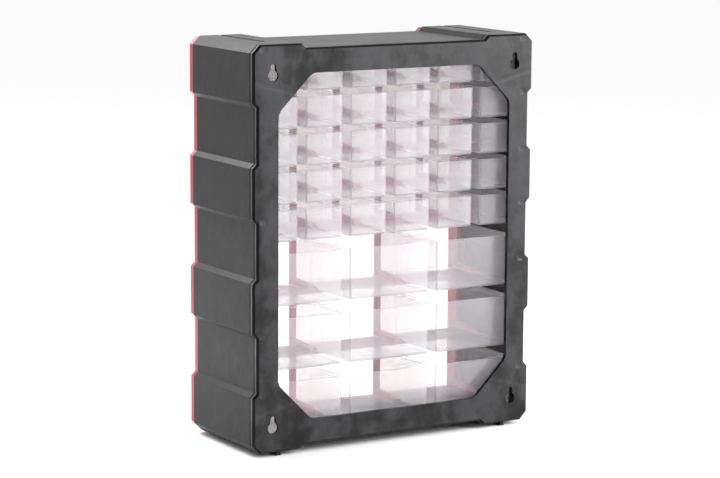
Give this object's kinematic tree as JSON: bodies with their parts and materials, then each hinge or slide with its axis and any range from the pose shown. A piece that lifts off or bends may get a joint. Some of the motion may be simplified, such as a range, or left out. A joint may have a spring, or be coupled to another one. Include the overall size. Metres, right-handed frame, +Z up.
{
  "type": "drawer organizer cabinet",
  "caption": "Stackable parts cabinet: stepped plastic housing with a rear window and wall keyholes, and a recessed front lattice that carries rows of small and large clear drawers.",
  "frame": {"origin": "middle of the footprint, on the surface that the feet of the rails stand on", "axes": "+Z up, drawers face and open towards -Y, +Y towards the wall, +X to the right of the front"},
  "size_m": [0.36, 0.152, 0.4495],
  "materials": {
    "housing": "satin, fine texture",
    "front": "glossy",
    "drawer": "clear, slightly frosted"
  },
  "bodies": {
    "housing": {"case_shell": "housing", "rear_frame": "housing", "front_frame": "front", "grid_bars": "front", "large_posts": "front", "small_posts": "front"},
    "small_drawer_r1_c1": {"small_drawer_r1_c1": "drawer"},
    "small_drawer_r1_c2": {"small_drawer_r1_c2": "drawer"},
    "small_drawer_r1_c3": {"small_drawer_r1_c3": "drawer"},
    "small_drawer_r1_c4": {"small_drawer_r1_c4": "drawer"},
    "small_drawer_r1_c5": {"small_drawer_r1_c5": "drawer"},
    "small_drawer_r1_c6": {"small_drawer_r1_c6": "drawer"},
    "small_drawer_r2_c1": {"small_drawer_r2_c1": "drawer"},
    "small_drawer_r2_c2": {"small_drawer_r2_c2": "drawer"},
    "small_drawer_r2_c3": {"small_drawer_r2_c3": "drawer"},
    "small_drawer_r2_c4": {"small_drawer_r2_c4": "drawer"},
    "small_drawer_r2_c5": {"small_drawer_r2_c5": "drawer"},
    "small_drawer_r2_c6": {"small_drawer_r2_c6": "drawer"},
    "small_drawer_r3_c1": {"small_drawer_r3_c1": "drawer"},
    "small_drawer_r3_c2": {"small_drawer_r3_c2": "drawer"},
    "small_drawer_r3_c3": {"small_drawer_r3_c3": "drawer"},
    "small_drawer_r3_c4": {"small_drawer_r3_c4": "drawer"},
    "small_drawer_r3_c5": {"small_drawer_r3_c5": "drawer"},
    "small_drawer_r3_c6": {"small_drawer_r3_c6": "drawer"},
    "small_drawer_r4_c1": {"small_drawer_r4_c1": "drawer"},
    "small_drawer_r4_c2": {"small_drawer_r4_c2": "drawer"},
    "small_drawer_r4_c3": {"small_drawer_r4_c3": "drawer"},
    "small_drawer_r4_c4": {"small_drawer_r4_c4": "drawer"},
    "small_drawer_r4_c5": {"small_drawer_r4_c5": "drawer"},
    "small_drawer_r4_c6": {"small_drawer_r4_c6": "drawer"},
    "small_drawer_r5_c1": {"small_drawer_r5_c1": "drawer"},
    "small_drawer_r5_c2": {"small_drawer_r5_c2": "drawer"},
    "small_drawer_r5_c3": {"small_drawer_r5_c3": "drawer"},
    "small_drawer_r5_c4": {"small_drawer_r5_c4": "drawer"},
    "small_drawer_r5_c5": {"small_drawer_r5_c5": "drawer"},
    "small_drawer_r5_c6": {"small_drawer_r5_c6": "drawer"},
    "large_drawer_r1_c1": {"large_drawer_r1_c1": "drawer"},
    "large_drawer_r1_c2": {"large_drawer_r1_c2": "drawer"},
    "large_drawer_r1_c3": {"large_drawer_r1_c3": "drawer"},
    "large_drawer_r2_c1": {"large_drawer_r2_c1": "drawer"},
    "large_drawer_r2_c2": {"large_drawer_r2_c2": "drawer"},
    "large_drawer_r2_c3": {"large_drawer_r2_c3": "drawer"},
    "large_drawer_r3_c1": {"large_drawer_r3_c1": "drawer"},
    "large_drawer_r3_c2": {"large_drawer_r3_c2": "drawer"},
    "large_drawer_r3_c3": {"large_drawer_r3_c3": "drawer"}
  },
  "joints": [
    {"name": "small_drawer_r1_c1_slide", "type": "slide", "parent": "housing", "child": "small_drawer_r1_c1", "axis": [0, -1, 0], "range_m": [0, 0.1]},
    {"name": "small_drawer_r1_c2_slide", "type": "slide", "parent": "housing", "child": "small_drawer_r1_c2", "axis": [0, -1, 0], "range_m": [0, 0.1]},
    {"name": "small_drawer_r1_c3_slide", "type": "slide", "parent": "housing", "child": "small_drawer_r1_c3", "axis": [0, -1, 0], "range_m": [0, 0.1]},
    {"name": "small_drawer_r1_c4_slide", "type": "slide", "parent": "housing", "child": "small_drawer_r1_c4", "axis": [0, -1, 0], "range_m": [0, 0.1]},
    {"name": "small_drawer_r1_c5_slide", "type": "slide", "parent": "housing", "child": "small_drawer_r1_c5", "axis": [0, -1, 0], "range_m": [0, 0.1]},
    {"name": "small_drawer_r1_c6_slide", "type": "slide", "parent": "housing", "child": "small_drawer_r1_c6", "axis": [0, -1, 0], "range_m": [0, 0.1]},
    {"name": "small_drawer_r2_c1_slide", "type": "slide", "parent": "housing", "child": "small_drawer_r2_c1", "axis": [0, -1, 0], "range_m": [0, 0.1]},
    {"name": "small_drawer_r2_c2_slide", "type": "slide", "parent": "housing", "child": "small_drawer_r2_c2", "axis": [0, -1, 0], "range_m": [0, 0.1]},
    {"name": "small_drawer_r2_c3_slide", "type": "slide", "parent": "housing", "child": "small_drawer_r2_c3", "axis": [0, -1, 0], "range_m": [0, 0.1]},
    {"name": "small_drawer_r2_c4_slide", "type": "slide", "parent": "housing", "child": "small_drawer_r2_c4", "axis": [0, -1, 0], "range_m": [0, 0.1]},
    {"name": "small_drawer_r2_c5_slide", "type": "slide", "parent": "housing", "child": "small_drawer_r2_c5", "axis": [0, -1, 0], "range_m": [0, 0.1]},
    {"name": "small_drawer_r2_c6_slide", "type": "slide", "parent": "housing", "child": "small_drawer_r2_c6", "axis": [0, -1, 0], "range_m": [0, 0.1]},
    {"name": "small_drawer_r3_c1_slide", "type": "slide", "parent": "housing", "child": "small_drawer_r3_c1", "axis": [0, -1, 0], "range_m": [0, 0.1]},
    {"name": "small_drawer_r3_c2_slide", "type": "slide", "parent": "housing", "child": "small_drawer_r3_c2", "axis": [0, -1, 0], "range_m": [0, 0.1]},
    {"name": "small_drawer_r3_c3_slide", "type": "slide", "parent": "housing", "child": "small_drawer_r3_c3", "axis": [0, -1, 0], "range_m": [0, 0.1]},
    {"name": "small_drawer_r3_c4_slide", "type": "slide", "parent": "housing", "child": "small_drawer_r3_c4", "axis": [0, -1, 0], "range_m": [0, 0.1]},
    {"name": "small_drawer_r3_c5_slide", "type": "slide", "parent": "housing", "child": "small_drawer_r3_c5", "axis": [0, -1, 0], "range_m": [0, 0.1]},
    {"name": "small_drawer_r3_c6_slide", "type": "slide", "parent": "housing", "child": "small_drawer_r3_c6", "axis": [0, -1, 0], "range_m": [0, 0.1]},
    {"name": "small_drawer_r4_c1_slide", "type": "slide", "parent": "housing", "child": "small_drawer_r4_c1", "axis": [0, -1, 0], "range_m": [0, 0.1]},
    {"name": "small_drawer_r4_c2_slide", "type": "slide", "parent": "housing", "child": "small_drawer_r4_c2", "axis": [0, -1, 0], "range_m": [0, 0.1]},
    {"name": "small_drawer_r4_c3_slide", "type": "slide", "parent": "housing", "child": "small_drawer_r4_c3", "axis": [0, -1, 0], "range_m": [0, 0.1]},
    {"name": "small_drawer_r4_c4_slide", "type": "slide", "parent": "housing", "child": "small_drawer_r4_c4", "axis": [0, -1, 0], "range_m": [0, 0.1]},
    {"name": "small_drawer_r4_c5_slide", "type": "slide", "parent": "housing", "child": "small_drawer_r4_c5", "axis": [0, -1, 0], "range_m": [0, 0.1]},
    {"name": "small_drawer_r4_c6_slide", "type": "slide", "parent": "housing", "child": "small_drawer_r4_c6", "axis": [0, -1, 0], "range_m": [0, 0.1]},
    {"name": "small_drawer_r5_c1_slide", "type": "slide", "parent": "housing", "child": "small_drawer_r5_c1", "axis": [0, -1, 0], "range_m": [0, 0.1]},
    {"name": "small_drawer_r5_c2_slide", "type": "slide", "parent": "housing", "child": "small_drawer_r5_c2", "axis": [0, -1, 0], "range_m": [0, 0.1]},
    {"name": "small_drawer_r5_c3_slide", "type": "slide", "parent": "housing", "child": "small_drawer_r5_c3", "axis": [0, -1, 0], "range_m": [0, 0.1]},
    {"name": "small_drawer_r5_c4_slide", "type": "slide", "parent": "housing", "child": "small_drawer_r5_c4", "axis": [0, -1, 0], "range_m": [0, 0.1]},
    {"name": "small_drawer_r5_c5_slide", "type": "slide", "parent": "housing", "child": "small_drawer_r5_c5", "axis": [0, -1, 0], "range_m": [0, 0.1]},
    {"name": "small_drawer_r5_c6_slide", "type": "slide", "parent": "housing", "child": "small_drawer_r5_c6", "axis": [0, -1, 0], "range_m": [0, 0.1]},
    {"name": "large_drawer_r1_c1_slide", "type": "slide", "parent": "housing", "child": "large_drawer_r1_c1", "axis": [0, -1, 0], "range_m": [0, 0.1]},
    {"name": "large_drawer_r1_c2_slide", "type": "slide", "parent": "housing", "child": "large_drawer_r1_c2", "axis": [0, -1, 0], "range_m": [0, 0.1]},
    {"name": "large_drawer_r1_c3_slide", "type": "slide", "parent": "housing", "child": "large_drawer_r1_c3", "axis": [0, -1, 0], "range_m": [0, 0.1]},
    {"name": "large_drawer_r2_c1_slide", "type": "slide", "parent": "housing", "child": "large_drawer_r2_c1", "axis": [0, -1, 0], "range_m": [0, 0.1]},
    {"name": "large_drawer_r2_c2_slide", "type": "slide", "parent": "housing", "child": "large_drawer_r2_c2", "axis": [0, -1, 0], "range_m": [0, 0.1]},
    {"name": "large_drawer_r2_c3_slide", "type": "slide", "parent": "housing", "child": "large_drawer_r2_c3", "axis": [0, -1, 0], "range_m": [0, 0.1]},
    {"name": "large_drawer_r3_c1_slide", "type": "slide", "parent": "housing", "child": "large_drawer_r3_c1", "axis": [0, -1, 0], "range_m": [0, 0.1]},
    {"name": "large_drawer_r3_c2_slide", "type": "slide", "parent": "housing", "child": "large_drawer_r3_c2", "axis": [0, -1, 0], "range_m": [0, 0.1]},
    {"name": "large_drawer_r3_c3_slide", "type": "slide", "parent": "housing", "child": "large_drawer_r3_c3", "axis": [0, -1, 0], "range_m": [0, 0.1]}
  ]
}
